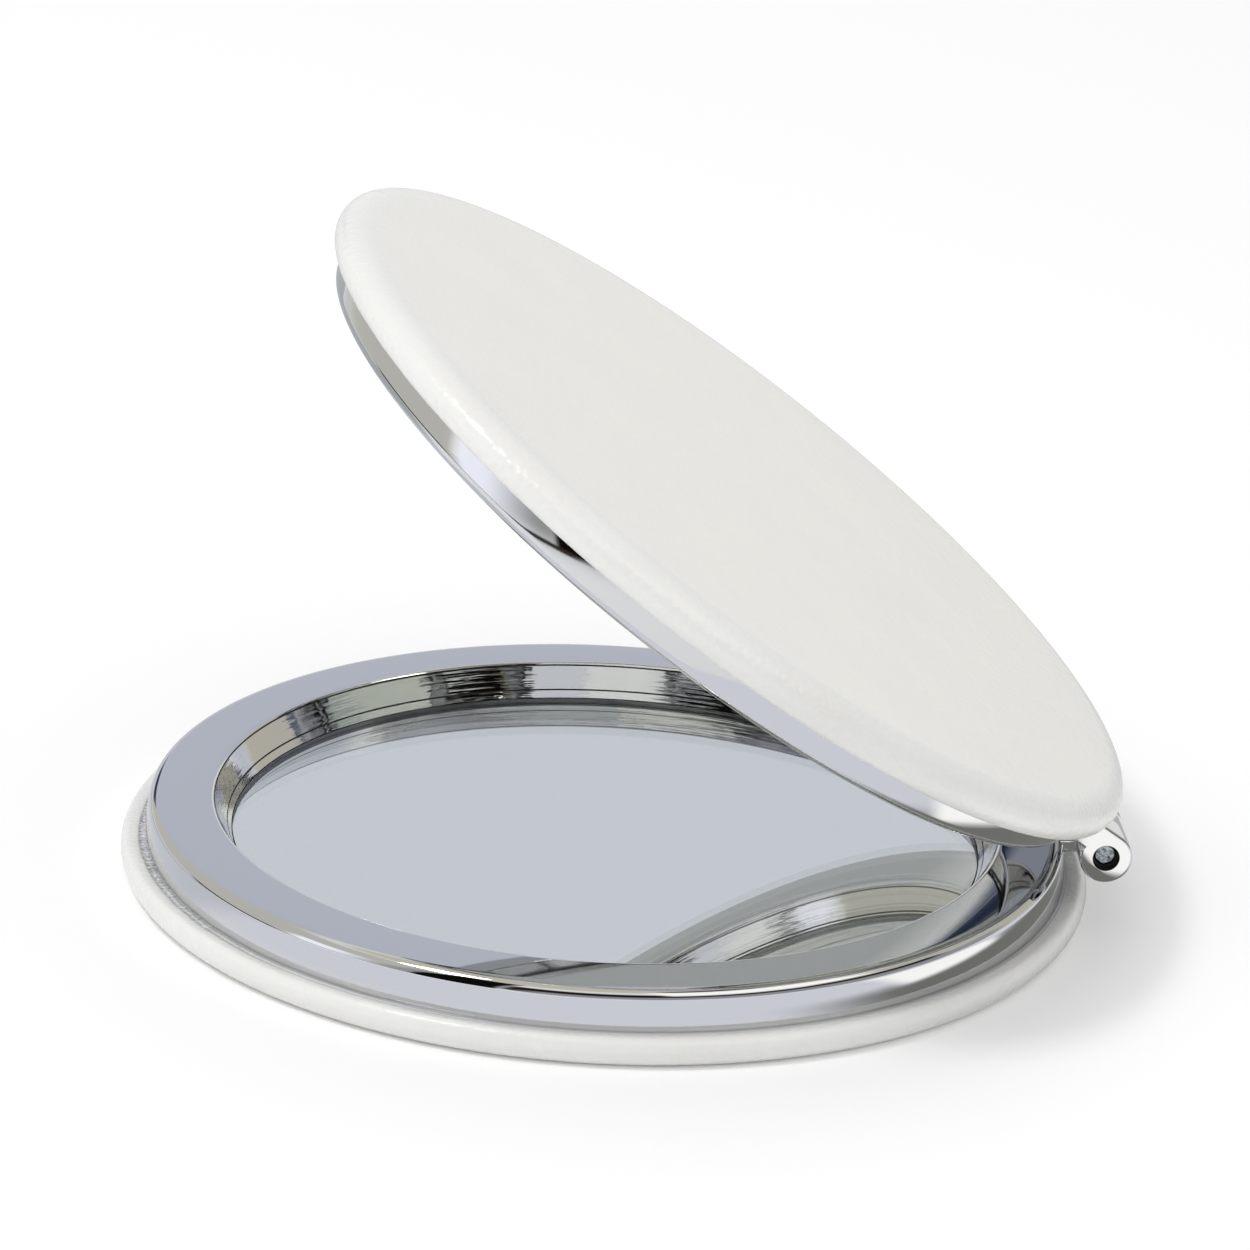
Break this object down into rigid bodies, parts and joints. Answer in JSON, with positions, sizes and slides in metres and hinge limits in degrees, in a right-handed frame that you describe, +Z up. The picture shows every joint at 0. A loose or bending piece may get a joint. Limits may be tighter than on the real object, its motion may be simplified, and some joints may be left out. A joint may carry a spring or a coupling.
{
  "type": "compact mirror",
  "caption": "Round folding compact mirror: padded white leatherette discs with chrome rings and inset mirrors, joined by a pinned barrel hinge at the edge.",
  "frame": {"origin": "centre of the base's round outer face, on the surface that it lies on", "axes": "+Z up, +X towards the hinge, the hinge pin along Y"},
  "size_m": [0.0722, 0.07, 0.049],
  "materials": {
    "leatherette": "fine grain, satin",
    "foam": "matte",
    "adhesive": "matte",
    "chrome": "bright plated",
    "magnet": "nickel plated",
    "mirror": "silvered glass",
    "pin": "zinc plated, cut ends"
  },
  "bodies": {
    "base": {"base_cover": "leatherette", "base_foam": "foam", "base_cover_tape": "adhesive", "base_frame": "chrome", "base_magnet": "magnet", "base_mirror_tape": "adhesive", "base_mirror": "mirror", "hinge_pin": "pin"},
    "lid": {"lid_cover": "leatherette", "lid_foam": "foam", "lid_cover_tape": "adhesive", "lid_frame": "chrome", "lid_magnet": "magnet", "lid_mirror_tape": "adhesive", "lid_mirror": "mirror"}
  },
  "joints": [
    {"name": "lid_hinge", "type": "hinge", "parent": "base", "child": "lid", "pos_m": [0.0352, 0, 0.006], "axis": [0, 1, 0], "range_deg": [-34.3, 145.7]}
  ]
}
